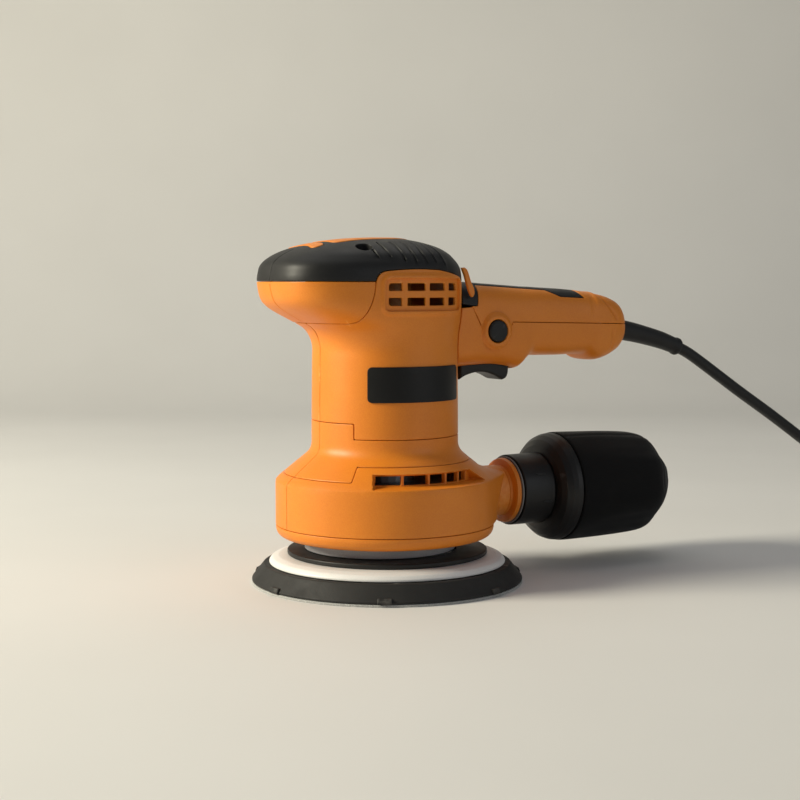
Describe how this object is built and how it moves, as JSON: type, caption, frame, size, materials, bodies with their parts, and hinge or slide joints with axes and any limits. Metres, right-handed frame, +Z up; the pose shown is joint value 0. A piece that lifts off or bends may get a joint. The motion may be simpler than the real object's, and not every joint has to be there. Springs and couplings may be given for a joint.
{
  "type": "random orbit sander",
  "caption": "Corded random-orbit sander with a palm grip, a rear handle with trigger, a round hook-faced pad and a pull-off dust bag.",
  "frame": {"origin": "on the motor's axis, at the level of the sanding face", "axes": "+Z up along the motor's axis, +X from the nose to the rear handle, +Y to the tool's right"},
  "size_m": [0.5611, 0.1957, 0.1894],
  "materials": {
    "orange_plastic": "fine-textured moulded plastic",
    "soft_black": "soft-touch overmould",
    "black_plastic": "semi-matte moulded plastic",
    "black_fabric": "close woven dust cloth",
    "dark_plastic": "moulded",
    "white_nylon": "satin nylon",
    "grey_rubber": "matt",
    "foam": "moulded foam",
    "hook_pile": "hook pile",
    "bright_steel": "ground",
    "dark_steel": "blackened",
    "copper": "turned copper",
    "cast_aluminium": "die cast"
  },
  "bodies": {
    "housing": {"fan_housing_rim": "orange_plastic", "fan_housing_left": "orange_plastic", "fan_housing_right": "orange_plastic", "collar_left": "orange_plastic", "collar_right": "orange_plastic", "nose_shell": "orange_plastic", "motor_housing_left": "orange_plastic", "motor_housing_right": "orange_plastic", "vent_grille_left": "orange_plastic", "vent_grille_right": "orange_plastic", "palm_grip": "soft_black", "grip_inlay_front": "orange_plastic", "grip_inlay_rear": "orange_plastic", "grip_screw": "dark_steel", "name_plate": "soft_black", "handle_upper_shell": "orange_plastic", "handle_lower_shell": "orange_plastic", "handle_top_grip": "soft_black", "saddle_trim": "soft_black", "saddle_fin_left": "orange_plastic", "saddle_fin_right": "orange_plastic", "lock_button_bezel": "orange_plastic", "lock_spring": "bright_steel", "handle_screw": "dark_steel", "housing_screw": "dark_steel", "trigger_pin": "bright_steel", "trigger_spring": "bright_steel", "switch_body": "dark_plastic", "stator_core": "dark_steel", "upper_bearing": "bright_steel", "lower_bearing": "bright_steel", "bearing_plate": "cast_aluminium", "carbon_brush_left": "dark_plastic", "carbon_brush_right": "dark_plastic", "dust_shroud": "grey_rubber", "duct_flange": "orange_plastic", "duct_seal": "grey_rubber", "strain_relief": "soft_black", "power_cord": "black_plastic", "cord_coil": "black_plastic", "plug_body": "black_plastic", "plug_pin_left": "bright_steel", "plug_pin_right": "bright_steel"},
    "trigger": {"trigger": "soft_black"},
    "lock_button": {"lock_button": "soft_black"},
    "rotor": {"motor_shaft": "bright_steel", "rotor_core": "dark_steel", "commutator": "copper", "dust_fan": "dark_plastic", "counterweight": "cast_aluminium", "pad_bearing": "bright_steel"},
    "pad": {"hook_disc": "hook_pile", "pad_foam": "foam", "backing_plate": "white_nylon", "pad_rim_disc": "soft_black", "pad_spindle": "bright_steel", "pad_bolt": "dark_steel"},
    "dust_bag": {"bag_sleeve": "black_plastic", "bag_bell": "black_plastic", "dust_bag": "black_fabric"}
  },
  "joints": [
    {"name": "rotor_spin", "type": "hinge", "parent": "housing", "child": "rotor", "pos_m": [0, 0, 0.1], "axis": [0, 0, 1], "continuous": true},
    {"name": "pad_spin", "type": "hinge", "parent": "rotor", "child": "pad", "pos_m": [0.00108, -0.00063, 0.02], "axis": [0, 0, 1], "continuous": true},
    {"name": "trigger_pull", "type": "hinge", "parent": "housing", "child": "trigger", "pos_m": [0.0463, 0, 0.1226], "axis": [0, -1, 0], "range_deg": [0, 6], "stiffness_Nm_per_rad": 2, "springref_deg": -5.73, "deforming": ["trigger_spring"]},
    {"name": "lock_press", "type": "slide", "parent": "housing", "child": "lock_button", "axis": [0, 1, 0], "range_m": [0, 0.0025], "stiffness_N_per_m": 400, "deforming": ["lock_spring"]},
    {"name": "bag_pull", "type": "slide", "parent": "housing", "child": "dust_bag", "axis": [1, 0, 0], "range_m": [0, 0.012]}
  ]
}
